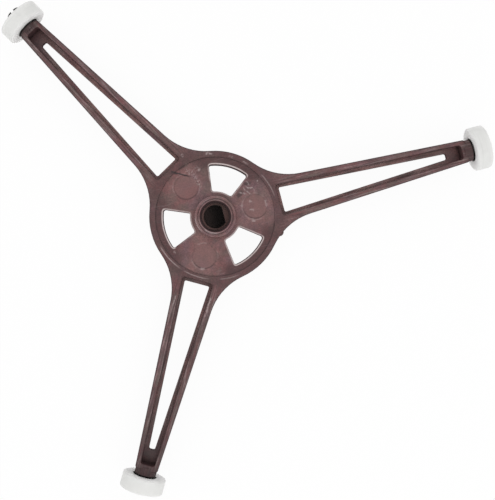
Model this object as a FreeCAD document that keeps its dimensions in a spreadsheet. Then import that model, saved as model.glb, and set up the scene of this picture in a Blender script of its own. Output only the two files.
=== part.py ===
# Roller ring for a microwave oven: a three-armed moulded spider that carries three rollers.
# Millimetres and degrees. Z is the hub's axis, the first arm lies along +X, and the axles lie at z = 0.
import FreeCAD, Part
import math
import os
import Sketcher
from FreeCAD import Placement, Rotation, Vector

ARMS = 3
ARM_STEP = 360.0 / ARMS
TINY = 1e-4
UPWARDS = Vector(0, 0, 1)

# Each driving size: its name, its value and what it measures.
SIZES = [
    ("hub_diameter", 39.8, "hub, outside of the rim"),
    ("body_height", 6.0, "hub rim and arms, top to bottom"),
    ("rim_width", 1.8, "rim around the hub plate"),
    ("plate_drop", 0.4, "hub plate below the rim"),
    ("window_inner_land", 1.45, "plate between boss and window"),
    ("window_outer_land", 2.3, "plate between window and rim"),
    ("window_span", 45.2, "angle between the two sides of a window"),
    ("window_corner", 0.7, "window corner radius"),
    ("window_round", 0.3, "rounding along the top of a window"),
    ("ejector_diameter", 7.3, "round mark of an ejector pin"),
    ("ejector_gap", 2.0, "plate between ejector mark and rim"),
    ("ejector_depth", 0.12, "depth of an ejector mark"),
    ("boss_diameter", 12.4, "boss around the drive socket"),
    ("boss_rise", 2.4, "boss above the plate"),
    ("boss_step", 0.35, "outer ring of the boss below its top"),
    ("boss_ring_width", 0.75, "outer ring of the boss, across"),
    ("boss_groove_width", 0.35, "groove between the two rings of the boss"),
    ("boss_groove_depth", 0.3, "groove below the outer ring"),
    ("boss_round", 0.2, "rounding of the two rings of the boss"),
    ("mouth_diameter", 9.2, "socket mouth at the top of the boss"),
    ("lead_in_diameter", 8.2, "round lead-in of the socket"),
    ("lead_in_slope", 1.1, "height of the cone from the mouth to the lead-in"),
    ("lead_in_length", 1.5, "straight wall of the lead-in"),
    ("socket_diameter", 7.1, "round wall of the D-shaped socket"),
    ("socket_across", 6.15, "from the flat of the socket to the wall opposite"),
    ("socket_floor", 1.2, "wall under the socket"),
    ("arm_reach", 79.5, "hub axis to the end face of an arm"),
    ("arm_root_width", 13.7, "arm where its sides would meet the rim"),
    ("arm_tip_width", 6.9, "arm at its end face"),
    ("arm_blend", 18.1, "fillet between arm and rim"),
    ("tip_corner", 1.0, "corners of the end face"),
    ("rail_root_wall", 2.2, "side rail of an arm at the hub"),
    ("rail_tip_wall", 1.38, "side rail of an arm at the end wall"),
    ("rail_round", 0.45, "rounding along the top of the rails and rim"),
    ("base_round", 0.3, "rounding along the bottom outline"),
    ("end_wall", 1.75, "wall that closes the channel at the tip"),
    ("channel_floor", 1.6, "floor of the arm's channel"),
    ("channel_corner", 0.8, "channel corner radius"),
    ("slot_start", 1.2, "channel floor between hub and slot"),
    ("slot_pocket", 3.9, "channel floor between slot and end wall"),
    ("ledge_root", 0.76, "ledge beside the slot at the hub"),
    ("ledge_tip", 1.28, "ledge beside the slot at the tip"),
    ("slot_corner", 0.5, "slot corner radius"),
    ("gate_diameter", 2.6, "stub left where the moulding was filled"),
    ("gate_reach", 1.45, "stub beyond the hub's radius"),
    ("gate_height", 2.2, "stub, top to bottom"),
    ("gate_angle", -28.0, "stub, from the first arm's axis"),
    ("collar_diameter", 6.6, "collar that the roller runs against"),
    ("collar_length", 1.65, "collar beyond the end face"),
    ("axle_diameter", 4.0, "axle pin"),
    ("running_clearance", 0.08, "axle pin to roller bore, all round"),
    ("side_clearance", 0.25, "collar to a roller that has slid outwards"),
    ("snap_clearance", 0.2, "barb to the roller's recess"),
    ("barb_overhang", 0.4, "barb beyond the axle pin, all round"),
    ("barb_length", 1.7, "barb along the axle"),
    ("barb_tip_diameter", 4.3, "barb at its tip"),
    ("slit_width", 1.0, "slit that lets the barb close"),
    ("slit_root", 0.5, "whole pin between collar and slit"),
    ("roller_diameter", 13.3, "roller tread"),
    ("roller_width", 4.6, "roller, face to face"),
    ("roller_edge", 0.5, "rounding of the tread's edges"),
    ("recess_diameter", 6.6, "recess in the roller's outer face"),
    ("recess_depth", 1.4, "recess in the roller's outer face"),
    ("collar_recess_clearance", 0.3, "collar to the recess in the roller's inner face, all round"),
    ("collar_recess_depth", 1.3, "recess in the roller's inner face, over the collar"),
    ("roller_slide", 1.25, "how far inwards the second roller has slid"),
]

# Places that several features share, worked out from the driving sizes.
HUB_RADIUS = "(sizes.hub_diameter / 2)"
PLATE_RADIUS = f"({HUB_RADIUS} - sizes.rim_width)"
BOSS_RADIUS = "(sizes.boss_diameter / 2)"
TOP = "(sizes.body_height / 2)"
PLATE_TOP = f"({TOP} - sizes.plate_drop)"
BOSS_TOP = f"({PLATE_TOP} + sizes.boss_rise)"
LEDGE = f"({BOSS_TOP} - sizes.lead_in_slope - sizes.lead_in_length)"
ARM_TAPER = f"((sizes.arm_root_width - sizes.arm_tip_width) / 2 / (sizes.arm_reach - {HUB_RADIUS}))"
ARM_HALF_AT_AXIS = f"(sizes.arm_root_width / 2 + {ARM_TAPER} * {HUB_RADIUS})"
CHANNEL_END = "(sizes.arm_reach - sizes.end_wall)"
CHANNEL_ROOT_HALF = "(sizes.arm_root_width / 2 - sizes.rail_root_wall)"
CHANNEL_TIP_HALF = f"({ARM_HALF_AT_AXIS} - {ARM_TAPER} * {CHANNEL_END} - sizes.rail_tip_wall)"
SLOT_START = f"({HUB_RADIUS} + sizes.slot_start)"
SLOT_END = f"({CHANNEL_END} - sizes.slot_pocket)"
SLOT_ROOT_HALF = f"({CHANNEL_ROOT_HALF} - sizes.ledge_root)"
SLOT_TIP_HALF = f"({CHANNEL_TIP_HALF} - sizes.ledge_tip)"
COLLAR_END = "(sizes.arm_reach + sizes.collar_length)"
ROLLER_INNER = f"({COLLAR_END} + sizes.side_clearance)"
AXLE_RADIUS = "(sizes.axle_diameter / 2)"
BARB_START = f"({ROLLER_INNER} + sizes.roller_width - sizes.recess_depth + sizes.snap_clearance)"
BARB_END = f"({BARB_START} + sizes.barb_length)"
BARB_RADIUS = f"({AXLE_RADIUS} + sizes.barb_overhang)"

doc = FreeCAD.newDocument("roller_ring")
sheet = doc.addObject("Spreadsheet::Sheet", "sizes")
for row, (name, value, meaning) in enumerate(SIZES, 1):
    sheet.set(f"A{row}", meaning)
    sheet.set(f"B{row}", str(value))
    sheet.setAlias(f"B{row}", name)
doc.recompute()


def worked_out(expression):
    """The number that an expression on the sheet gives now."""
    return float(sheet.evalExpression(expression))


def new_body(name):
    body = doc.addObject("PartDesign::Body", name)
    body.Label = name
    return body


def origin_feature(body, role):
    return next(feature for feature in body.Origin.OriginFeatures if feature.Role == role)


def new_sketch(body, name, plane="XY_Plane", height=None):
    """A sketch on one of the body's origin planes, raised by an expression."""
    sketch = body.newObject("Sketcher::SketchObject", name)
    sketch.AttachmentSupport = [(origin_feature(body, plane), "")]
    sketch.MapMode = "FlatFace"
    if height is not None:
        sketch.setExpression("AttachmentOffset.Base.z", height)
    return sketch


def bind(sketch, constraint, expression):
    """Add a constraint whose value follows an expression."""
    number = sketch.addConstraint(constraint)
    sketch.setExpression(f"Constraints[{number}]", expression)


def place_point(sketch, curve, point, across, along):
    """Hold a point of a curve at two expressions, measured from the sketch's origin."""
    for kind, axis, expression in (("DistanceX", -2, across), ("DistanceY", -1, along)):
        value = worked_out(expression)
        if abs(value) < TINY:
            sketch.addConstraint(Sketcher.Constraint("PointOnObject", curve, point, axis))
        else:
            bind(sketch, Sketcher.Constraint(kind, -1, 1, curve, point, value), expression)


def draw_polygon(sketch, corners):
    """A closed outline of straight lines through corners given as pairs of expressions."""
    points = [Vector(worked_out(across), worked_out(along), 0) for across, along in corners]
    following = points[1:] + points[:1]
    lines = [sketch.addGeometry(Part.LineSegment(*ends)) for ends in zip(points, following)]
    for line, following_line in zip(lines, lines[1:] + lines[:1]):
        sketch.addConstraint(Sketcher.Constraint("Coincident", line, 2, following_line, 1))
    for line, (across, along) in zip(lines, corners):
        place_point(sketch, line, 1, across, along)


def draw_circle(sketch, across, along, radius):
    centre = Vector(worked_out(across), worked_out(along), 0)
    circle = sketch.addGeometry(Part.Circle(centre, UPWARDS, worked_out(radius)))
    place_point(sketch, circle, 3, across, along)
    bind(sketch, Sketcher.Constraint("Radius", circle, worked_out(radius)), radius)


def draw_arc(sketch, radius, start, end):
    """An arc about the sketch's origin, between two angles in radians."""
    circle = Part.Circle(Vector(), UPWARDS, worked_out(radius))
    arc = sketch.addGeometry(Part.ArcOfCircle(circle, start, end))
    sketch.addConstraint(Sketcher.Constraint("Coincident", arc, 3, -1, 1))
    bind(sketch, Sketcher.Constraint("Radius", arc, worked_out(radius)), radius)
    return arc


def need_cut(name, before, after):
    if after > before - TINY:
        raise RuntimeError(f"{name} cuts nothing")


def add_pad(body, name, sketch, height):
    """Plastic on both sides of the sketch, half of the height each way."""
    pad = body.newObject("PartDesign::Pad", name)
    pad.Profile = sketch
    pad.SideType = "Symmetric"
    pad.setExpression("Length", height)
    doc.recompute()
    return pad


def add_pocket(body, name, sketch, depth=None, both_ways=False):
    """A cut below the sketch, or on both sides of it, and right through if no depth is given."""
    before = body.Shape.Volume
    pocket = body.newObject("PartDesign::Pocket", name)
    pocket.Profile = sketch
    pocket.SideType = "Symmetric" if both_ways else "One side"
    if depth is None:
        pocket.Type = "ThroughAll"
    else:
        pocket.setExpression("Length", depth)
    doc.recompute()
    need_cut(name, before, body.Shape.Volume)
    return pocket


def add_turned(body, kind, name, sketch, axis):
    """A shape turned about one of the sketch's axes, added as a Revolution or cut as a Groove."""
    before = body.Shape.Volume if body.Tip else 0.0
    turned = body.newObject("PartDesign::" + kind, name)
    turned.Profile = sketch
    turned.ReferenceAxis = (sketch, [axis])
    turned.Angle = 360.0
    doc.recompute()
    if kind == "Groove":
        need_cut(name, before, body.Shape.Volume)
    return turned


def repeat_round_hub(body, name, features):
    """The same features on every arm."""
    pattern = body.newObject("PartDesign::PolarPattern", name)
    pattern.Originals = features
    pattern.Axis = (origin_feature(body, "Z_Axis"), [""])
    pattern.Angle = 360.0
    pattern.Occurrences = ARMS
    body.Tip = pattern
    doc.recompute()


def round_edges(body, name, radius, wanted):
    """Round each edge of the body that the test picks."""
    base = body.Tip
    picked = [f"Edge{number}" for number, edge in enumerate(base.Shape.Edges, 1) if wanted(edge)]
    if not picked:
        raise RuntimeError(f"{name} finds no edge")
    fillet = body.newObject("PartDesign::Fillet", name)
    fillet.Base = (base, picked)
    fillet.setExpression("Radius", radius)
    doc.recompute()


def upright_at(corners):
    """A test for upright edges at places in plan, repeated on every arm."""
    places = []
    for number in range(ARMS):
        turn = Rotation(UPWARDS, number * ARM_STEP)
        places += [turn.multVec(Vector(across, along, 0)) for across, along in corners]

    def wanted(edge):
        box = edge.BoundBox
        if max(box.XLength, box.YLength) > TINY:
            return False
        foot = Vector(box.Center.x, box.Center.y, 0)
        return any(foot.distanceToPoint(place) < TINY for place in places)

    return wanted


def lies_at(edge, height):
    return max(abs(edge.BoundBox.ZMin - height), abs(edge.BoundBox.ZMax - height)) < TINY


def edge_radius(edge):
    return getattr(edge.Curve, "Radius", 0.0)


def level_at(height, but_radius):
    """A test for edges at one height, apart from circles of one radius."""
    return lambda edge: lies_at(edge, height) and abs(edge_radius(edge) - but_radius) > TINY


def rings_at(rings):
    """A test for circles given as pairs of radius and height."""

    def wanted(edge):
        sizes = [radius for radius, height in rings if lies_at(edge, height)]
        return any(abs(edge_radius(edge) - radius) < TINY for radius in sizes)

    return wanted


def outline_at(body, height):
    """A test for the outer outline of the body's flat face at one height."""
    faces = [face for face in body.Tip.Shape.Faces if lies_at(face, height)]
    outline = max(faces, key=lambda face: face.Area).OuterWire
    return lambda edge: any(edge.isSame(other) for other in outline.Edges)


def both_sides(across, along):
    """The corners at one distance along an arm, on both sides of its axis."""
    return [(worked_out(across), worked_out(along)), (worked_out(across), -worked_out(along))]


def make_outline(body):
    """The hub disc and the tapered arms, blended into each other."""
    disc = new_sketch(body, "hub_circle")
    draw_circle(disc, "0", "0", HUB_RADIUS)
    add_pad(body, "hub", disc, "sizes.body_height")

    plan = new_sketch(body, "arm_plan")
    tip_half = "(sizes.arm_tip_width / 2)"
    draw_polygon(plan, [
        ("0", f"-{ARM_HALF_AT_AXIS}"),
        ("sizes.arm_reach", f"-{tip_half}"),
        ("sizes.arm_reach", tip_half),
        ("0", ARM_HALF_AT_AXIS),
    ])
    arm = add_pad(body, "arm", plan, "sizes.body_height")
    repeat_round_hub(body, "arms", [arm])

    # A root corner is where the straight side of an arm meets the hub's circle.
    taper = worked_out(ARM_TAPER)
    half = worked_out(ARM_HALF_AT_AXIS)
    square = 1 + taper ** 2
    root = (taper * half + (worked_out(HUB_RADIUS) ** 2 * square - half ** 2) ** 0.5) / square
    roots = [(root, half - taper * root), (root, taper * root - half)]
    round_edges(body, "arm_blends", "sizes.arm_blend", upright_at(roots))
    tips = both_sides("sizes.arm_reach", tip_half)
    round_edges(body, "tip_corners", "sizes.tip_corner", upright_at(tips))


def make_openings(body):
    """The sunk hub plate, and a channel, a slot and a window for each arm."""
    plate = new_sketch(body, "plate_circle", height=TOP)
    draw_circle(plate, "0", "0", PLATE_RADIUS)
    add_pocket(body, "plate", plate, "sizes.plate_drop")

    channel_plan = new_sketch(body, "channel_plan", height=TOP)
    draw_polygon(channel_plan, [
        (HUB_RADIUS, f"-{CHANNEL_ROOT_HALF}"),
        (CHANNEL_END, f"-{CHANNEL_TIP_HALF}"),
        (CHANNEL_END, CHANNEL_TIP_HALF),
        (HUB_RADIUS, CHANNEL_ROOT_HALF),
    ])
    channel = add_pocket(body, "channel", channel_plan, "sizes.body_height - sizes.channel_floor")

    slot_plan = new_sketch(body, "slot_plan", height=TOP)
    draw_polygon(slot_plan, [
        (SLOT_START, f"-{SLOT_ROOT_HALF}"),
        (SLOT_END, f"-{SLOT_TIP_HALF}"),
        (SLOT_END, SLOT_TIP_HALF),
        (SLOT_START, SLOT_ROOT_HALF),
    ])
    slot = add_pocket(body, "slot", slot_plan)

    window_plan = new_sketch(body, "window_plan", height=TOP)
    window_corners = draw_window(window_plan)
    window = add_pocket(body, "window", window_plan)
    repeat_round_hub(body, "openings", [channel, slot, window])

    channel_corners = both_sides(HUB_RADIUS, CHANNEL_ROOT_HALF)
    channel_corners += both_sides(CHANNEL_END, CHANNEL_TIP_HALF)
    slot_corners = both_sides(SLOT_START, SLOT_ROOT_HALF)
    slot_corners += both_sides(SLOT_END, SLOT_TIP_HALF)
    round_edges(body, "channel_corners", "sizes.channel_corner", upright_at(channel_corners))
    round_edges(body, "slot_corners", "sizes.slot_corner", upright_at(slot_corners))
    round_edges(body, "window_corners", "sizes.window_corner", upright_at(window_corners))


def draw_window(sketch):
    """The window opposite the first arm. Returns its corners."""
    inner = f"({BOSS_RADIUS} + sizes.window_inner_land)"
    outer = f"({PLATE_RADIUS} - sizes.window_outer_land)"
    side_angle = "(180 - sizes.window_span / 2)"
    angle = math.radians(worked_out(side_angle))
    inner_arc = draw_arc(sketch, inner, angle, 2 * math.pi - angle)
    outer_arc = draw_arc(sketch, outer, angle, 2 * math.pi - angle)
    corners = []
    for end, sign in ((1, 1), (2, -1)):
        outwards = Vector(math.cos(angle), sign * math.sin(angle), 0)
        side = Part.LineSegment(outwards * worked_out(inner), outwards * worked_out(outer))
        line = sketch.addGeometry(side)
        sketch.addConstraint(Sketcher.Constraint("Coincident", inner_arc, end, line, 1))
        sketch.addConstraint(Sketcher.Constraint("Coincident", outer_arc, end, line, 2))
        sketch.addConstraint(Sketcher.Constraint("PointOnObject", -1, 1, line))
        bind(sketch, Sketcher.Constraint("Angle", line, sign * angle), f"{sign} * {side_angle} * 1 deg")
        corners += [(side.StartPoint.x, side.StartPoint.y), (side.EndPoint.x, side.EndPoint.y)]
    return corners


def round_outlines(body):
    """The soft edges of the moulding. A rail is rounded on both sides, so its wall limits them."""
    rail_round = "min(sizes.rail_round; sizes.rail_tip_wall * 0.45)"
    plate_radius = worked_out(PLATE_RADIUS)
    round_edges(body, "rail_tops", rail_round, level_at(worked_out(TOP), plate_radius))
    round_edges(body, "window_tops", "sizes.window_round", level_at(worked_out(PLATE_TOP), plate_radius))
    round_edges(body, "base_outline", "sizes.base_round", outline_at(body, -worked_out(TOP)))


def make_hub_details(body):
    """Ejector marks, the ringed boss with its drive socket, and the stub of the moulding gate."""
    mark = new_sketch(body, "ejector_circle", height=PLATE_TOP)
    mark_radius = "(sizes.ejector_diameter / 2)"
    draw_circle(mark, f"{PLATE_RADIUS} - sizes.ejector_gap - {mark_radius}", "0", mark_radius)
    ejector_mark = add_pocket(body, "ejector_mark", mark, "sizes.ejector_depth")
    repeat_round_hub(body, "ejector_marks", [ejector_mark])

    ring_top = f"({BOSS_TOP} - sizes.boss_step)"
    ring_inside = f"({BOSS_RADIUS} - sizes.boss_ring_width)"
    groove_bottom = f"({ring_top} - sizes.boss_groove_depth)"
    groove_inside = f"({ring_inside} - sizes.boss_groove_width)"
    boss_section = new_sketch(body, "boss_section", "XZ_Plane")
    draw_polygon(boss_section, [
        ("0", "0"),
        (BOSS_RADIUS, "0"),
        (BOSS_RADIUS, ring_top),
        (ring_inside, ring_top),
        (ring_inside, groove_bottom),
        (groove_inside, groove_bottom),
        (groove_inside, BOSS_TOP),
        ("0", BOSS_TOP),
    ])
    add_turned(body, "Revolution", "boss", boss_section, "V_Axis")
    soft_rings = [(BOSS_RADIUS, ring_top), (ring_inside, ring_top), (groove_inside, BOSS_TOP)]
    soft_rings = [(worked_out(radius), worked_out(height)) for radius, height in soft_rings]
    round_edges(body, "boss_rings", "sizes.boss_round", rings_at(soft_rings))

    lead_in_radius = "(sizes.lead_in_diameter / 2)"
    lead_in_section = new_sketch(body, "lead_in_section", "XZ_Plane")
    draw_polygon(lead_in_section, [
        ("0", LEDGE),
        (lead_in_radius, LEDGE),
        (lead_in_radius, f"{BOSS_TOP} - sizes.lead_in_slope"),
        ("sizes.mouth_diameter / 2", BOSS_TOP),
        ("0", BOSS_TOP),
    ])
    add_turned(body, "Groove", "lead_in", lead_in_section, "V_Axis")

    socket_plan = new_sketch(body, "socket_plan", height=LEDGE)
    draw_socket(socket_plan)
    add_pocket(body, "socket", socket_plan, f"{LEDGE} + {TOP} - sizes.socket_floor")

    gate_circle = new_sketch(body, "gate_circle")
    gate_radius = "(sizes.gate_diameter / 2)"
    gate_place = f"({HUB_RADIUS} + sizes.gate_reach - {gate_radius})"
    turn = "(sizes.gate_angle * 1 deg)"
    draw_circle(gate_circle, f"{gate_place} * cos{turn}", f"{gate_place} * sin{turn}", gate_radius)
    add_pad(body, "gate_stub", gate_circle, "sizes.gate_height")


def draw_socket(sketch):
    """The D-shaped section of the drive socket, with its flat towards the first arm."""
    radius = "(sizes.socket_diameter / 2)"
    flat = f"(sizes.socket_across - {radius})"
    angle = math.acos(worked_out(flat) / worked_out(radius))
    arc = draw_arc(sketch, radius, angle, 2 * math.pi - angle)
    ends = sketch.getPoint(arc, 2), sketch.getPoint(arc, 1)
    line = sketch.addGeometry(Part.LineSegment(*ends))
    sketch.addConstraint(Sketcher.Constraint("Coincident", arc, 2, line, 1))
    sketch.addConstraint(Sketcher.Constraint("Coincident", arc, 1, line, 2))
    sketch.addConstraint(Sketcher.Constraint("Vertical", line))
    bind(sketch, Sketcher.Constraint("DistanceX", -1, 1, line, 1, worked_out(flat)), flat)


def make_axles(body):
    """On each arm's end a collar and a pin with a barbed tip, split so that it can close."""
    section = new_sketch(body, "axle_section")
    embedded = "(sizes.arm_reach - sizes.end_wall / 2)"
    draw_polygon(section, [
        (embedded, "0"),
        (embedded, "sizes.collar_diameter / 2"),
        (COLLAR_END, "sizes.collar_diameter / 2"),
        (COLLAR_END, AXLE_RADIUS),
        (BARB_START, AXLE_RADIUS),
        (BARB_START, BARB_RADIUS),
        (BARB_END, "sizes.barb_tip_diameter / 2"),
        (BARB_END, "0"),
    ])
    axle = add_turned(body, "Revolution", "axle", section, "H_Axis")

    slit_plan = new_sketch(body, "slit_plan")
    slit_start = f"({COLLAR_END} + sizes.slit_root)"
    slit_end = f"({BARB_END} + sizes.barb_length)"
    half = "(sizes.slit_width / 2)"
    draw_polygon(slit_plan, [
        (slit_start, f"-{half}"),
        (slit_end, f"-{half}"),
        (slit_end, half),
        (slit_start, half),
    ])
    slit = add_pocket(body, "slit", slit_plan, f"4 * {BARB_RADIUS}", both_ways=True)
    repeat_round_hub(body, "axles", [axle, slit])


def make_spider():
    body = new_body("spider")
    make_outline(body)
    make_openings(body)
    round_outlines(body)
    make_hub_details(body)
    make_axles(body)
    return body


def make_roller(number, slide):
    """A roller on the axle of one arm, with a recess for the collar and one for the barb."""
    body = new_body(f"roller_{number + 1}")
    section = new_sketch(body, f"roller_section_{number + 1}")
    bore = f"({AXLE_RADIUS} + sizes.running_clearance)"
    tread = "(sizes.roller_diameter / 2)"
    inner_face = f"({ROLLER_INNER} - {slide})"
    outer_face = f"({inner_face} + sizes.roller_width)"
    collar_recess = "(sizes.collar_diameter / 2 + sizes.collar_recess_clearance)"
    collar_recess_floor = f"({inner_face} + sizes.collar_recess_depth)"
    barb_recess_floor = f"({outer_face} - sizes.recess_depth)"
    draw_polygon(section, [
        (inner_face, collar_recess),
        (inner_face, tread),
        (outer_face, tread),
        (outer_face, "sizes.recess_diameter / 2"),
        (barb_recess_floor, "sizes.recess_diameter / 2"),
        (barb_recess_floor, bore),
        (collar_recess_floor, bore),
        (collar_recess_floor, collar_recess),
    ])
    add_turned(body, "Revolution", f"roller_turning_{number + 1}", section, "H_Axis")
    tread_radius = worked_out(tread)
    on_tread = lambda edge: abs(edge_radius(edge) - tread_radius) < TINY
    round_edges(body, f"tread_edges_{number + 1}", "sizes.roller_edge", on_tread)
    body.Placement = Placement(Vector(), Rotation(UPWARDS, number * ARM_STEP))
    return body


# The rollers are loose along their axles: the second has slid inwards, and the others outwards.
slides = ["0", "min(sizes.roller_slide; sizes.collar_recess_depth)", "0"]
bodies = [make_spider()] + [make_roller(number, slide) for number, slide in enumerate(slides)]
doc.recompute()

for item in doc.Objects:
    if "Invalid" in item.State or "Error" in item.State:
        raise RuntimeError(f"{item.Name} failed: {item.State}")
for body in bodies:
    if body.Shape.isNull() or not body.Shape.isValid() or len(body.Shape.Solids) != 1:
        raise RuntimeError(f"{body.Label} isn't one valid solid")

os.makedirs("parts", exist_ok=True)
for body in bodies:
    body.Shape.exportStep(f"parts/{body.Label}.step")
    print(body.Label, round(body.Shape.Volume, 1), "mm3")
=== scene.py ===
import math

import bpy
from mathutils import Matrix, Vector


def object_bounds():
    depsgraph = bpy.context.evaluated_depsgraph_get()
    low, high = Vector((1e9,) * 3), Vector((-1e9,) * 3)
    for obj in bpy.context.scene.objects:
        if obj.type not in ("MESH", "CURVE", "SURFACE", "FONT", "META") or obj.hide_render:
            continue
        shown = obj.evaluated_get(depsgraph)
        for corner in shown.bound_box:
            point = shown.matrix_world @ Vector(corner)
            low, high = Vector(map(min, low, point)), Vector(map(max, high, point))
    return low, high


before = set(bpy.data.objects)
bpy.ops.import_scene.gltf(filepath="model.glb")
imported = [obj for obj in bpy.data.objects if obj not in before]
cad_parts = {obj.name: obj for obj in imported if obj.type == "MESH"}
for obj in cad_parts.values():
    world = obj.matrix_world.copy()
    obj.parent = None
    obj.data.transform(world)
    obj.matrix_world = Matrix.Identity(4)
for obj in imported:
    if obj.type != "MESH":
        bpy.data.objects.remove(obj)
cad_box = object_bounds()

# The spider is the three-armed carrier that the motor's shaft turns under the glass tray.
# It is brown heat-resistant PBT, injection moulded in one shot with its boss, socket, rails and axle pins.
# Nothing is machined afterwards, so ejector marks, flow lines and the gate's stub stay on it.
MM = 1000.0
ARM_STEP = math.radians(120)
MOUTH_RADIUS = 4.6
BOSS_RADIUS = 6.2
PLATE_RADIUS = 18.1
HUB_RADIUS = 19.9
CHANNEL_END = 77.75
ARM_REACH = 79.5
COLLAR_END = 81.15
ARM_HALF_AT_AXIS = 7.985
ARM_TAPER = 0.057
PLATE_LEVEL = 2.6
SOCKET_LIP = 2.4
SOCKET_FLOOR = -1.8
CHANNEL_FLOOR = -1.4


def colour(code):
    """The linear colour of an sRGB hex value."""
    parts = [int(code[start:start + 2], 16) / 255 for start in (1, 3, 5)]
    linear = [part / 12.92 if part <= 0.04045 else ((part + 0.055) / 1.055) ** 2.4 for part in parts]
    return linear + [1.0]


def add(material, kind, inputs, **settings):
    """A new node with its settings, and with each input set to a value or linked to another node."""
    tree = material.node_tree
    node = tree.nodes.new("ShaderNode" + kind)
    for name, value in settings.items():
        setattr(node, name, value)
    for name, value in inputs.items():
        if isinstance(value, bpy.types.Node):
            value = value.outputs[0]
        if isinstance(value, bpy.types.NodeSocket):
            tree.links.new(value, node.inputs[name])
        else:
            node.inputs[name].default_value = value
    return node


def new_material(name):
    """An empty node material and its Principled shader."""
    material = bpy.data.materials.new(name)
    material.use_nodes = True
    return material, material.node_tree.nodes["Principled BSDF"]


def finish_material(material, shader, **layers):
    """Link the finished colour, roughness and relief to the shader."""
    for name, node in layers.items():
        material.node_tree.links.new(node.outputs[0], shader.inputs[name.replace("_", " ")])


def places(material):
    """The place in millimetres, the same turned on to the first arm, and the angle of that turn."""
    place = add(material, "TexCoord", {}).outputs["Object"]
    place = add(material, "VectorMath", {0: place, "Scale": MM}, operation="SCALE")
    parts = add(material, "SeparateXYZ", {0: place})
    angle = add(material, "Math", {0: parts.outputs["Y"], 1: parts.outputs["X"]}, operation="ARCTAN2")
    share = add(material, "Math", {0: angle, 1: ARM_STEP}, operation="DIVIDE")
    arm = add(material, "Math", {0: share}, operation="ROUND")
    turn = add(material, "Math", {0: arm, 1: -ARM_STEP}, operation="MULTIPLY")
    arm_place = add(material, "VectorRotate", {"Vector": place, "Angle": turn}, rotation_type="Z_AXIS")
    return place, arm_place, turn


def where(material, *limits, strength=1.0):
    """How far a place meets every limit: a value, where the limit begins to count and where it is full."""
    share = strength
    for value, begins, full in limits:
        step = {"Value": value, "From Min": begins, "From Max": full}
        met = add(material, "MapRange", step, interpolation_type="SMOOTHSTEP")
        share = add(material, "Math", {0: met, 1: share}, operation="MULTIPLY")
    return share


def lay(material, under, tint, share, strength=1.0):
    """A colour laid over another, by a share of the surface and a strength."""
    cover = add(material, "Math", {0: share, 1: strength}, operation="MULTIPLY")
    return add(material, "MixRGB", {"Fac": cover, "Color1": under, "Color2": tint})


# Moulded PBT: a semi-matt skin that mirrors only softly, mottled where the melt cooled unevenly.
pbt, pbt_shader = new_material("moulded_brown_pbt")
ARM_BROWN = colour("#5d3b3b")
SPOKE_BROWN = colour("#76514f")
LAND_BROWN = colour("#401d1e")
BOSS_BROWN = colour("#795857")
LEDGE_BROWN = colour("#926a67")
RED_BROWN = colour("#6b3638")
MAUVE_BROWN = colour("#694a50")
GREY_BROWN = colour("#5d4e48")
DARK_BROWN = colour("#301315")
GRIME_AND_SHADE = colour("#0a0505")
PALE_SCUFF_AND_HIGHLIGHT = colour("#a89695")
EDGE_HIGHLIGHT = colour("#cabbb9")

place, arm_place, turn = places(pbt)
along, across, height = add(pbt, "SeparateXYZ", {0: arm_place}).outputs
aside = add(pbt, "Math", {0: across}, operation="ABSOLUTE")
level_place = add(pbt, "VectorMath", {0: arm_place, 1: (1.0, 1.0, 0.0)}, operation="MULTIPLY")
from_axis = add(pbt, "VectorMath", {0: level_place}, operation="LENGTH").outputs["Value"]
upward = add(pbt, "SeparateXYZ", {0: add(pbt, "TexCoord", {}).outputs["Normal"]}).outputs["Z"]
upright = where(pbt, (add(pbt, "Math", {0: upward}, operation="ABSOLUTE"), 0.75, 0.15))
on_top = (height, PLATE_LEVEL - 0.6, PLATE_LEVEL - 0.2)
on_arm = where(pbt, (along, HUB_RADIUS - 2.0, HUB_RADIUS + 6.0))
half_width = add(pbt, "Math", {0: along, 1: -ARM_TAPER, 2: ARM_HALF_AT_AXIS}, operation="MULTIPLY_ADD")
from_flank = add(pbt, "Math", {0: half_width, 1: aside}, operation="SUBTRACT")
between_rails = (from_flank, 0.9, 1.3)
over_floor = (height, CHANNEL_FLOOR - 0.9, CHANNEL_FLOOR - 0.4)

# The hub plate's three spokes and the boss are palest. The rim is darker, and the land inside it darkest.
on_plate = (from_axis, PLATE_RADIUS + 0.2, PLATE_RADIUS - 0.2)
on_spoke = where(pbt, on_plate, (aside, 7.5, 3.0))
on_land = where(pbt, on_plate, (from_axis, 14.0, 16.0), (aside, 5.0, 9.0))
on_rim = where(pbt, on_top, (from_axis, PLATE_RADIUS, PLATE_RADIUS + 0.3), (from_axis, 23.0, HUB_RADIUS))
on_boss = where(pbt, (height, PLATE_LEVEL + 0.2, PLATE_LEVEL + 1.0), (from_axis, 8.0, 7.0))
in_channel = where(pbt, (along, HUB_RADIUS, HUB_RADIUS + 1.0), (height, 0.5, 0.0), (upward, 0.6, 0.9))
in_pocket = where(pbt, between_rails, over_floor, (along, 71.5, 74.5), (height, 1.0, -0.5))
far_out = where(pbt, (along, 45.0, ARM_REACH))
base = lay(pbt, ARM_BROWN, SPOKE_BROWN, on_spoke)
base = lay(pbt, base, BOSS_BROWN, on_boss)
# The channel ledges get a paler brown: painted light that lifts the rails' shade off them.
base = lay(pbt, base, LEDGE_BROWN, in_channel)

# Soft patches of melt turn redder, mauve or greyer, each about as many millimetres wide as its first number.
for patch_size, layer, tint, strength in (
        (9.0, 0.0, RED_BROWN, 0.5), (6.0, 5.0, MAUVE_BROWN, 0.7), (4.0, 10.0, GREY_BROWN, 0.5)):
    spread = {"Vector": place, "W": layer, "Scale": 1 / patch_size, "Detail": 3.0, "Roughness": 0.55}
    patches = add(pbt, "TexNoise", spread, noise_dimensions="4D")
    base = lay(pbt, base, tint, where(pbt, (patches, 0.46, 0.66)), strength)
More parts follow.
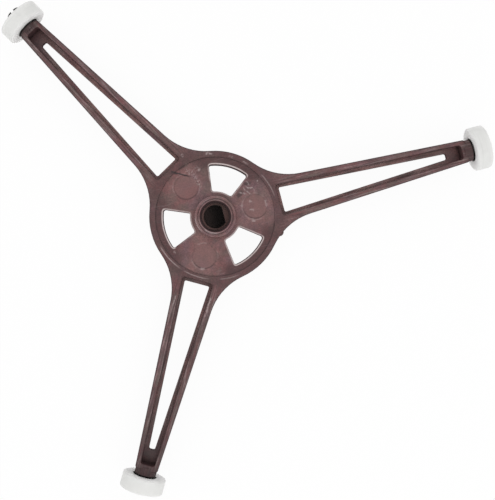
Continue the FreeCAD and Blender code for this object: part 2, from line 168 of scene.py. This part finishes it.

# Thin places froze first and came out darker: the land, the rim and the arms' far ends. The pockets' floors
# are painted darker too, as painted shade.
# The tip of the second arm and the whole third arm are darker still.
on_second = where(pbt, (turn, -1.0, -2.0))
on_third = where(pbt, (turn, 1.0, 2.0), strength=on_arm)
second_tip = where(pbt, (along, 62.0, 76.0), strength=on_second)
for thin_place, tint, strength in (
        (on_land, LAND_BROWN, 0.75), (on_rim, LAND_BROWN, 0.55), (in_pocket, DARK_BROWN, 0.2),
        (far_out, DARK_BROWN, 0.25), (second_tip, DARK_BROWN, 0.3), (on_third, DARK_BROWN, 0.3)):
    base = lay(pbt, base, tint, thin_place, strength)

# Flow lines run along the arms and differ from arm to arm.
# The upright walls and the pockets don't show them. On the third arm they fade into its dark tip.
FLOW_LENGTH = 9.0
FLOW_WIDTH = 0.5
flow = (1 / FLOW_LENGTH, 1 / FLOW_WIDTH, 1 / FLOW_WIDTH)
stretched = add(pbt, "VectorMath", {0: arm_place, 1: flow}, operation="MULTIPLY")
for layer, tint, strength in (
        (20.0, RED_BROWN, 0.5), (30.0, GREY_BROWN, 0.7), (40.0, DARK_BROWN, 0.7), (50.0, PALE_SCUFF_AND_HIGHLIGHT, 0.3)):
    own_layer = add(pbt, "Math", {0: turn, 1: layer}, operation="ADD")
    run = {"Vector": stretched, "W": own_layer, "Scale": 1.0, "Detail": 2.0}
    lines = add(pbt, "TexNoise", run, noise_dimensions="4D")
    on_lines = where(pbt, (lines, 0.50, 0.66), (upright, 0.8, 0.2), (in_pocket, 0.8, 0.2), strength=on_arm)
    base = lay(pbt, base, tint, on_lines, strength)

third_tip = where(pbt, (along, 50.0, 76.0), strength=on_third)
base = lay(pbt, base, DARK_BROWN, third_tip, 0.42)

# Small clouds, and the grain of the skin, drawn at 0.4 mm because the real 0.05 mm would not show.
CLOUD_SIZE = 2.0
GRAIN_SIZE = 0.4
clouds = {"Vector": place, "Scale": 1 / CLOUD_SIZE, "Detail": 4.0, "Roughness": 0.65}
clouds = add(pbt, "TexNoise", clouds)
grain = {"Vector": place, "Scale": 1 / GRAIN_SIZE, "Detail": 2.0, "Roughness": 0.5}
grain = add(pbt, "TexNoise", grain)
for pattern, swing in ((clouds, 0.18), (grain, 0.26)):
    shade = {"Value": pattern, "From Min": 0.3, "From Max": 0.7, "To Min": 1.0 - swing, "To Max": 1.0 + swing}
    base = add(pbt, "VectorMath", {0: base, "Scale": add(pbt, "MapRange", shade)}, operation="SCALE")

# Upright walls inside the arms and windows are painted darker, as painted shade.
# So are the rails' inner edges by the hub.
in_windows = where(pbt, (from_axis, PLATE_RADIUS - 0.5, PLATE_RADIUS - 1.5))
inside = add(pbt, "Math", {0: where(pbt, between_rails), 1: in_windows}, operation="MAXIMUM")
wall_shade = add(pbt, "Math", {0: upright, 1: inside}, operation="MULTIPLY")
inner_edge = where(
    pbt, on_top, (from_flank, 1.65, 1.80), (along, HUB_RADIUS - 0.2, HUB_RADIUS + 0.2))
base = lay(pbt, base, DARK_BROWN, wall_shade, 0.35)
base = lay(pbt, base, DARK_BROWN, inner_edge, 0.4)

# Hairline scratches from cleaning run over the hub in three directions, where it was rubbed most.
RUBBED_PATCH = 4.0
HAIR_LENGTH = 5.0
HAIR_WIDTH = 0.3
hair_scale = (1 / HAIR_LENGTH, 1 / HAIR_WIDTH, 1.0)
rub_and_highlight_patches = add(pbt, "TexNoise", {"Vector": place, "Scale": 1 / RUBBED_PATCH, "Detail": 2.0})
for heading in (18, 74, 137):
    turned = {"Vector": place, "Rotation": (0, 0, math.radians(heading)), "Scale": hair_scale}
    hairs = add(pbt, "TexNoise", {"Vector": add(pbt, "Mapping", turned), "Scale": 1.0, "Detail": 1.0})
    scuffed = where(pbt, (hairs, 0.66, 0.74), (rub_and_highlight_patches, 0.42, 0.60), (from_axis, 26.0, 20.0))
    base = lay(pbt, base, PALE_SCUFF_AND_HIGHLIGHT, scuffed, 0.15)

# Each ejector pin left a round, redder mark. Its groove is painted darker on the same side of every mark, as
# painted shade, and a pale painted highlight lies round its edge in places.
EJECTOR_PLACE = (12.45, 0.0, 0.0)
EJECTOR_RADIUS = 3.65
SHADED_SIDE = (-0.25, -0.97, 0.0)
off_pin = add(pbt, "VectorMath", {0: level_place, 1: EJECTOR_PLACE}, operation="SUBTRACT")
from_pin = add(pbt, "VectorMath", {0: off_pin}, operation="LENGTH").outputs["Value"]
shaded_side = add(pbt, "VectorRotate", {"Vector": SHADED_SIDE, "Angle": turn}, rotation_type="Z_AXIS")
toward_shade = add(pbt, "VectorMath", {0: off_pin, 1: shaded_side}, operation="DOT_PRODUCT").outputs["Value"]
in_mark = where(pbt, on_top, (from_pin, EJECTOR_RADIUS, EJECTOR_RADIUS - 0.4))
mark_groove = where(
    pbt, on_top, (from_pin, EJECTOR_RADIUS - 0.35, EJECTOR_RADIUS - 0.1),
    (from_pin, EJECTOR_RADIUS + 0.3, EJECTOR_RADIUS + 0.05), (toward_shade, 0.0, 3.4))
mark_edge = where(
    pbt, on_top, (from_pin, EJECTOR_RADIUS + 0.1, EJECTOR_RADIUS + 0.3),
    (from_pin, EJECTOR_RADIUS + 0.8, EJECTOR_RADIUS + 0.4), (rub_and_highlight_patches, 0.46, 0.62))
base = lay(pbt, base, SPOKE_BROWN, in_mark, 0.5)
base = lay(pbt, base, DARK_BROWN, mark_groove, 0.45)
base = lay(pbt, base, PALE_SCUFF_AND_HIGHLIGHT, mark_edge, 0.22)

# Single marks on the hub and two of the arms: start, end, bow and width in millimetres, and strength.
# A weld line, where two fronts of melt met, is dark. A scuff is pale and broken up, and some are mere specks.
# A highlight line is a painted highlight, pale and even, along the edge of the rim or the boss.
WELD_LINES = [
    ((-9.1, 16.2), (-3.4, 13.1), 0.0, 0.34, 1.00),
    ((-9.6, 16.5), (-7.4, 15.3), 0.0, 0.55, 0.90),
    ((-7.3, 16.4), (-4.3, 17.4), 0.0, 0.55, 0.60),
    ((10.6, 7.6), (13.4, 7.0), 0.0, 0.70, 0.55),
    ((7.7, 4.2), (10.6, 5.4), 0.0, 0.90, 0.60),
]
SCUFFS = [
    ((10.9, 7.0), (14.2, 5.9), -0.8, 0.28, 0.85),
    ((15.2, 7.6), (14.8, 6.2), 0.0, 0.32, 0.65),
    ((8.5, 5.4), (11.2, 4.0), 0.0, 0.35, 0.60),
    ((10.2, 6.6), (12.9, 3.2), -0.3, 0.30, 0.55),
    ((11.6, 8.3), (12.3, 6.1), 0.2, 0.30, 0.45),
    ((13.0, 5.6), (13.9, 3.9), 0.0, 0.30, 0.45),
    # This one is the ejector mark's lit edge: a painted highlight.
    ((15.9, 1.6), (15.6, -1.6), 0.1, 0.45, 0.50),
    ((11.0, 2.1), (11.9, 1.3), 0.0, 0.55, 0.50),
    ((8.3, 1.4), (9.0, 0.9), 0.0, 0.55, 0.60),
    ((10.5, -0.4), (12.1, -1.1), 0.0, 0.55, 0.55),
    ((10.2, -3.7), (11.8, -4.3), 0.0, 0.65, 0.60),
    ((-1.6, 15.1), (-0.8, 14.6), 0.0, 0.50, 0.55),
    ((1.8, 19.2), (4.4, 17.9), 0.3, 0.60, 0.65),
    ((8.3, 16.7), (10.0, 15.4), 0.2, 0.55, 0.28),
    ((12.0, 14.2), (13.7, 12.5), 0.1, 0.45, 0.45),
    ((-5.2, 20.8), (-4.5, 19.8), 0.0, 0.65, 0.45),
    ((-15.0, -7.0), (-14.0, -7.4), 0.0, 0.60, 0.40),
    ((-8.4, -14.1), (-6.8, -14.4), 0.0, 0.55, 0.55),
    ((-35.4, 68.2), (-33.9, 65.8), 0.0, 0.60, 0.30),
    ((-41.0, 65.5), (-40.0, 63.5), 0.0, 0.40, 0.25),
    ((-39.5, 63.0), (-38.3, 60.7), 0.0, 0.40, 0.30),
    ((-7.2, -22.9), (-11.7, -29.8), 0.0, 0.40, 0.70),
    ((-17.3, -19.7), (-19.9, -23.5), 0.0, 0.35, 0.50),
]
SPECKLES = [
    ((-5.4, 16.6), (-2.0, 12.4), 0.2, 1.30, 0.40),
    ((-3.2, 13.6), (-2.3, 8.4), 0.4, 1.10, 0.45),
    ((-2.4, 16.2), (-0.6, 14.4), 0.0, 1.00, 0.25),
]
# Painted highlights along the rim's and the boss's edges.
HIGHLIGHT_LINES = [
    ((16.4, 9.2), (19.0, 0.2), 0.6, 0.28, 0.42),
    ((-18.4, -4.0), (-13.3, -13.3), -0.75, 0.32, 0.60),
    ((-13.6, -13.0), (-5.6, -18.0), -0.65, 0.28, 0.50),
    ((-4.0, -18.5), (3.6, -18.6), -0.4, 0.26, 0.35),
    ((-4.4, -2.6), (0.8, -5.0), -0.9, 0.34, 0.85),
    ((-5.9, 1.6), (-4.4, -4.2), -0.8, 0.30, 0.55),
    ((-3.4, 4.0), (0.4, 5.3), 0.6, 0.30, 0.45),
]
WOBBLE_SIZE = 1.2
SPECK_SIZE = 0.5
wobble = add(pbt, "TexNoise", {"Vector": place, "Scale": 1 / WOBBLE_SIZE, "Detail": 2.0})
wobble = add(pbt, "MapRange", {"Value": wobble, "To Min": -0.9, "To Max": 0.9})
specks = add(pbt, "TexNoise", {"Vector": place, "Scale": 1 / SPECK_SIZE, "Detail": 2.0})


def line_mark(start, end, bow, width, strength, shake=1.0):
    """How much a mark shows: most on its line, which shakes, less to its sides and towards its ends."""
    run = (end[0] - start[0], end[1] - start[1])
    own_frame = {
        "Vector": place,
        "Location": (start[0], start[1], 0.0),
        "Rotation": (0.0, 0.0, math.atan2(run[1], run[0])),
        "Scale": (math.hypot(*run), width, 1.0),
    }
    own_place = add(pbt, "Mapping", own_frame, vector_type="TEXTURE")
    onward, sideways, _ = add(pbt, "SeparateXYZ", {0: own_place}).outputs
    arch = add(pbt, "Math", {0: onward, 1: onward}, operation="MULTIPLY")
    arch = add(pbt, "Math", {0: onward, 1: arch}, operation="SUBTRACT")
    arch = add(pbt, "Math", {0: arch, 1: 4 * bow / width}, operation="MULTIPLY")
    off_line = add(pbt, "Math", {0: sideways, 1: arch}, operation="SUBTRACT")
    off_line = add(pbt, "Math", {0: wobble, 1: shake, 2: off_line}, operation="MULTIPLY_ADD")
    off_line = add(pbt, "Math", {0: off_line}, operation="ABSOLUTE")
    return where(
        pbt, on_top, (off_line, 1.0, 0.2), (onward, 0.0, 0.15), (onward, 1.0, 0.6), strength=strength)


for line in WELD_LINES:
    weld = line_mark(*line)
    base = lay(pbt, base, DARK_BROWN, weld)
    base = lay(pbt, base, GRIME_AND_SHADE, weld, 0.3)
for line in SCUFFS:
    base = lay(pbt, base, PALE_SCUFF_AND_HIGHLIGHT, where(pbt, (specks, 0.34, 0.56), strength=line_mark(*line)))
for line in SPECKLES:
    base = lay(pbt, base, PALE_SCUFF_AND_HIGHLIGHT, where(pbt, (specks, 0.50, 0.64), strength=line_mark(*line)))
for line in HIGHLIGHT_LINES:
    base = lay(pbt, base, PALE_SCUFF_AND_HIGHLIGHT, where(pbt, (specks, 0.20, 0.50), strength=line_mark(*line, shake=0.4)))

# The windows' rounded edges carry a pale painted highlight, strongest on their outer arcs, and the boss's
# edge does in places.
# A painted shadow line marks the foot of the rim, and the outer edges of rim and arms are painted darker, as
# shade.
WINDOW_INNER = 7.65
WINDOW_OUTER = 15.8
WINDOW_SIDE = math.radians(37.4)
WINDOW_ROUNDING = 1.7
side_angle = add(pbt, "Math", {0: aside, 1: along}, operation="ARCTAN2")
to_side = add(pbt, "Math", {0: WINDOW_SIDE, 1: side_angle}, operation="SUBTRACT")
to_side = add(pbt, "Math", {0: to_side, 1: from_axis}, operation="MULTIPLY")
to_inner = add(pbt, "Math", {0: WINDOW_INNER, 1: from_axis}, operation="SUBTRACT")
to_outer = add(pbt, "Math", {0: from_axis, 1: WINDOW_OUTER}, operation="SUBTRACT")
to_arc = add(pbt, "Math", {0: to_inner, 1: to_outer}, operation="MAXIMUM")
to_window = add(pbt, "Math", {0: to_arc, 1: to_side, 2: WINDOW_ROUNDING}, operation="SMOOTH_MAX")
facing_up = (upward, 0.3, 0.6)
arc_edge = where(pbt, on_top, facing_up, (to_window, 0.45, 0.22), (to_outer, -0.8, 0.0))
other_edge = where(pbt, on_top, facing_up, (to_window, 0.55, 0.25), (rub_and_highlight_patches, 0.32, 0.54))
base = lay(pbt, base, EDGE_HIGHLIGHT, arc_edge, 0.8)
base = lay(pbt, base, EDGE_HIGHLIGHT, other_edge, 0.6)
rounded = [(upward, 0.98, 0.88), (upward, 0.25, 0.5), on_top]
boss_edge = where(
    pbt, *rounded, (from_axis, BOSS_RADIUS + 0.6, BOSS_RADIUS + 0.3), (rub_and_highlight_patches, 0.35, 0.6))
base = lay(pbt, base, PALE_SCUFF_AND_HIGHLIGHT, boss_edge, 0.4)
# A painted shadow line at the foot of the rim.
rim_foot = where(
    pbt, on_top, (from_axis, PLATE_RADIUS - 0.45, PLATE_RADIUS - 0.1),
    (from_axis, PLATE_RADIUS + 0.35, PLATE_RADIUS + 0.05), (clouds, 0.36, 0.56))
base = lay(pbt, base, DARK_BROWN, rim_foot, 0.5)
# The outer rounded edges of rim and arms get painted shade.
outer_edge = where(pbt, *rounded, (from_axis, PLATE_RADIUS, HUB_RADIUS), (from_flank, 1.2, 0.8))
base = lay(pbt, base, DARK_BROWN, outer_edge, 0.75)

# Painted shade darkens the mouth and the lip in it, and blackens the socket, most by its flat.
# It also darkens the pockets' far corners and the arms' ends, and a painted shadow lies on the collars beside
# the rollers.
# The second roller has slid inwards on its pin, and that shadow with it.
SLIDE = 1.25
in_mouth = where(
    pbt, (height, SOCKET_LIP + 0.1, SOCKET_LIP + 0.3), (from_axis, MOUTH_RADIUS + 0.25, MOUTH_RADIUS + 0.05))
inside_mouth = (from_axis, MOUTH_RADIUS, MOUTH_RADIUS - 0.3)
by_flat = where(pbt, (add(pbt, "SeparateXYZ", {0: place}).outputs["X"], -3.5, 1.0))
lip_shade = add(pbt, "MapRange", {"Value": by_flat, "To Min": 0.0, "To Max": 0.35})
socket_shade = add(pbt, "MapRange", {"Value": by_flat, "To Min": 0.65, "To Max": 0.95})
on_lip = where(
    pbt, inside_mouth, (height, SOCKET_LIP + 0.3, SOCKET_LIP + 0.1),
    (height, SOCKET_LIP - 0.3, SOCKET_LIP - 0.1))
in_socket = where(
    pbt, inside_mouth, (height, SOCKET_LIP - 0.1, SOCKET_LIP - 0.3),
    (height, SOCKET_FLOOR - 0.9, SOCKET_FLOOR - 0.4), strength=socket_shade)
in_corner = where(
    pbt, between_rails, over_floor, (along, CHANNEL_END - 0.9, CHANNEL_END - 0.1), (height, 0.5, -1.0),
    strength=0.35)
at_end = where(pbt, (along, ARM_REACH - 2.5, ARM_REACH), strength=0.3)
to_roller = add(pbt, "Math", {0: on_second, 1: SLIDE, 2: along}, operation="MULTIPLY_ADD")
at_roller = where(pbt, (to_roller, COLLAR_END - 0.45, COLLAR_END - 0.05), strength=0.95)
base = lay(pbt, base, DARK_BROWN, in_mouth, 0.9)
base = lay(pbt, base, GRIME_AND_SHADE, in_mouth, 0.4)
base = lay(pbt, base, GREY_BROWN, on_lip, 0.6)
base = lay(pbt, base, GRIME_AND_SHADE, on_lip, lip_shade)
base = lay(pbt, base, GREY_BROWN, in_socket)
shaded_places = in_socket
for shade_place in (in_corner, at_end, at_roller):
    shaded_places = add(pbt, "Math", {0: shaded_places, 1: shade_place}, operation="MAXIMUM")
base = lay(pbt, base, GRIME_AND_SHADE, shaded_places)

# The skin is semi-matt, and fully matt on upright walls and where shade is painted. Its relief is some 0.04
# mm deep.
PBT_IOR = 1.55
SKIN_DEPTH = 0.00004
shine = {"Value": clouds, "From Min": 0.3, "From Max": 0.7, "To Min": 0.38, "To Max": 0.54}
gloss = add(pbt, "MapRange", shine)
dull = upright
for matt_place in (shaded_places, in_mouth, on_lip):
    dull = add(pbt, "Math", {0: dull, 1: matt_place}, operation="MAXIMUM")
gloss = lay(pbt, gloss, (1.0, 1.0, 1.0, 1.0), dull)
relief = add(pbt, "Math", {0: clouds, 1: 3.0, 2: grain}, operation="MULTIPLY_ADD")
skin = add(pbt, "Bump", {"Strength": 0.35, "Distance": SKIN_DEPTH, "Height": relief})
pbt_shader.inputs["IOR"].default_value = PBT_IOR
finish_material(pbt, pbt_shader, Base_Color=base, Roughness=gloss, Normal=skin)
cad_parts["spider"].material_slots[0].material = pbt

# The rollers run loose on the spider's axle pins and carry the tray on their treads.
# They are plain white acetal, moulded, then snapped over the split barb at each pin's end.
ROLLER_RADIUS = 6.65
RECESS_RADIUS = 3.6

# Acetal is waxy: its gloss is soft, and light seeps some 3 mm into it, which evens out the shading.
# The faces are painted whiter than the tread, as painted light that lifts the shade on them.
acetal, acetal_shader = new_material("moulded_white_acetal")
FACE_WHITE = colour("#fafaf8")
TREAD_WHITE = colour("#e1e1df")
ROLLING_GREY = colour("#c4c4c1")
RECESS_SHADE = colour("#2b2725")

place, arm_place, turn = places(acetal)
from_axle = add(acetal, "VectorMath", {0: arm_place, 1: (0.0, 1.0, 1.0)}, operation="MULTIPLY")
from_axle = add(acetal, "VectorMath", {0: from_axle}, operation="LENGTH").outputs["Value"]
on_face = where(acetal, (from_axle, ROLLER_RADIUS - 0.1, ROLLER_RADIUS - 0.5))
base = lay(acetal, TREAD_WHITE, FACE_WHITE, on_face)

# Faint clouds, and rings from rolling, which run round the tread.
FAINT_CLOUD_SIZE = 4.0
RING_SPACING = 0.5
RING_LENGTH = 9.0
clouds = add(acetal, "TexNoise", {"Vector": place, "Scale": 1 / FAINT_CLOUD_SIZE, "Detail": 3.0})
base = lay(acetal, base, ROLLING_GREY, where(acetal, (clouds, 0.45, 0.70)), 0.15)
rings = (1 / RING_SPACING, 1 / RING_LENGTH, 1 / RING_LENGTH)
rings = add(acetal, "VectorMath", {0: arm_place, 1: rings}, operation="MULTIPLY")
rings = {"Vector": rings, "W": turn, "Scale": 1.0, "Detail": 2.0}
rings = add(acetal, "TexNoise", rings, noise_dimensions="4D")
worn = where(acetal, (rings, 0.52, 0.72), (from_axle, ROLLER_RADIUS - 0.3, ROLLER_RADIUS - 0.1))
base = lay(acetal, base, ROLLING_GREY, worn, 0.18)

# Painted shade darkens the recess round the collar, the bore and the barb.
recess_shade_place = where(acetal, (from_axle, RECESS_RADIUS + 0.15, RECESS_RADIUS - 0.05))
base = lay(acetal, base, RECESS_SHADE, recess_shade_place, 0.9)

ACETAL_IOR = 1.48
SEEP_DEPTH = 0.003
TREAD_RELIEF = 0.00003
gloss = add(acetal, "MapRange", {"Value": rings, "To Min": 0.38, "To Max": 0.60})
grain = add(acetal, "TexNoise", {"Vector": place, "Scale": 1 / GRAIN_SIZE, "Detail": 2.0})
skin = add(acetal, "Bump", {"Strength": 0.1, "Distance": TREAD_RELIEF, "Height": grain})
acetal_shader.inputs["IOR"].default_value = ACETAL_IOR
acetal_shader.inputs["Subsurface Weight"].default_value = 0.5
acetal_shader.inputs["Subsurface Radius"].default_value = (1.0, 1.0, 1.0)
acetal_shader.inputs["Subsurface Scale"].default_value = SEEP_DEPTH
finish_material(acetal, acetal_shader, Base_Color=base, Roughness=gloss, Normal=skin)
for number in (1, 2, 3):
    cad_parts[f"roller_{number}"].material_slots[0].material = acetal

# The floor is a plain sheet of white paper, a hair's breadth under the treads.
# It looks white to the camera and in reflections, and keeps a faint share of the part's shadow.
FLOOR_HALF = 2.0
HAIR = 0.00002
SHADOW_SHARE = 0.06
floor_level = cad_box[0].z - HAIR
corners = [(x * FLOOR_HALF, y * FLOOR_HALF) for x, y in ((-1, -1), (1, -1), (1, 1), (-1, 1))]
sheet_mesh = bpy.data.meshes.new("floor_sheet")
sheet_mesh.from_pydata([(x, y, floor_level) for x, y in corners], [], [(0, 1, 2, 3)])
floor_sheet = bpy.data.objects.new("floor_sheet", sheet_mesh)
bpy.context.scene.collection.objects.link(floor_sheet)

paper, paper_shader = new_material("white_paper")
paper_shader.inputs["Base Color"].default_value = colour("#f7f7f7")
paper_shader.inputs["Roughness"].default_value = 0.9
white = add(paper, "Emission", {"Color": (1.0, 1.0, 1.0, 1.0), "Strength": 1.0})
ray = add(paper, "LightPath", {})
seen = ray.outputs["Is Camera Ray"]
for other_ray in ("Is Glossy Ray", "Is Transmission Ray"):
    seen = add(paper, "Math", {0: seen, 1: ray.outputs[other_ray]}, operation="MAXIMUM")
share = add(paper, "Math", {0: seen, 1: 1.0 - SHADOW_SHARE}, operation="MULTIPLY")
mixed = add(paper, "MixShader", {0: share, 1: paper_shader, 2: white})
paper.node_tree.links.new(mixed.outputs[0], paper.node_tree.nodes["Material Output"].inputs["Surface"])
sheet_mesh.materials.append(paper)

# Soft studio light: a white room lights the part evenly from all round.
# One broad lamp, high in front of the part, adds a little shape. Together they show colours about as written.
ROOM_LIGHT = 0.93
LAMP_PLACE = (0.01, -0.44, 0.50)
LAMP_SIZE = 0.35
LAMP_POWER = 0.45
room = bpy.data.worlds.new("white_room")
room.use_nodes = True
bpy.context.scene.world = room
backdrop = room.node_tree.nodes["Background"]
backdrop.inputs["Color"].default_value = (1.0, 1.0, 1.0, 1.0)
ray = add(room, "LightPath", {})
seen = ray.outputs["Is Camera Ray"]
for other_ray in ("Is Glossy Ray", "Is Transmission Ray"):
    seen = add(room, "Math", {0: seen, 1: ray.outputs[other_ray]}, operation="MAXIMUM")
strength = add(room, "MapRange", {"Value": seen, "To Min": ROOM_LIGHT, "To Max": 1.0})
room.node_tree.links.new(strength.outputs[0], backdrop.inputs["Strength"])

lamp_data = bpy.data.lights.new("broad_lamp", "AREA")
lamp_data.size = LAMP_SIZE
lamp_data.energy = LAMP_POWER
lamp = bpy.data.objects.new("broad_lamp", lamp_data)
lamp.location = LAMP_PLACE
lamp.rotation_euler = (-lamp.location).to_track_quat("-Z", "Y").to_euler()
bpy.context.scene.collection.objects.link(lamp)

# The camera hangs above the hub, turned so that the first arm points right and slightly up.
# Its height and lens give the same foreshortening of boss and rollers as in the photo.
IMAGE_HEIGHT = 500
FOCAL_PIXELS = 927.2
SENSOR_HEIGHT = 36.0
CAMERA_PLACE = (-0.00375, -0.00667, 0.28274)
CAMERA_DEGREES = (-0.545, -2.382, -14.72)
camera_data = bpy.data.cameras.new("camera")
camera_data.sensor_fit = "VERTICAL"
camera_data.sensor_height = SENSOR_HEIGHT
camera_data.lens = SENSOR_HEIGHT * FOCAL_PIXELS / IMAGE_HEIGHT
camera_data.clip_start = 0.01
camera = bpy.data.objects.new("camera", camera_data)
camera.location = CAMERA_PLACE
camera.rotation_euler = [math.radians(angle) for angle in CAMERA_DEGREES]
bpy.context.scene.collection.objects.link(camera)
bpy.context.scene.camera = camera
bpy.context.scene.view_settings.view_transform = "Standard"
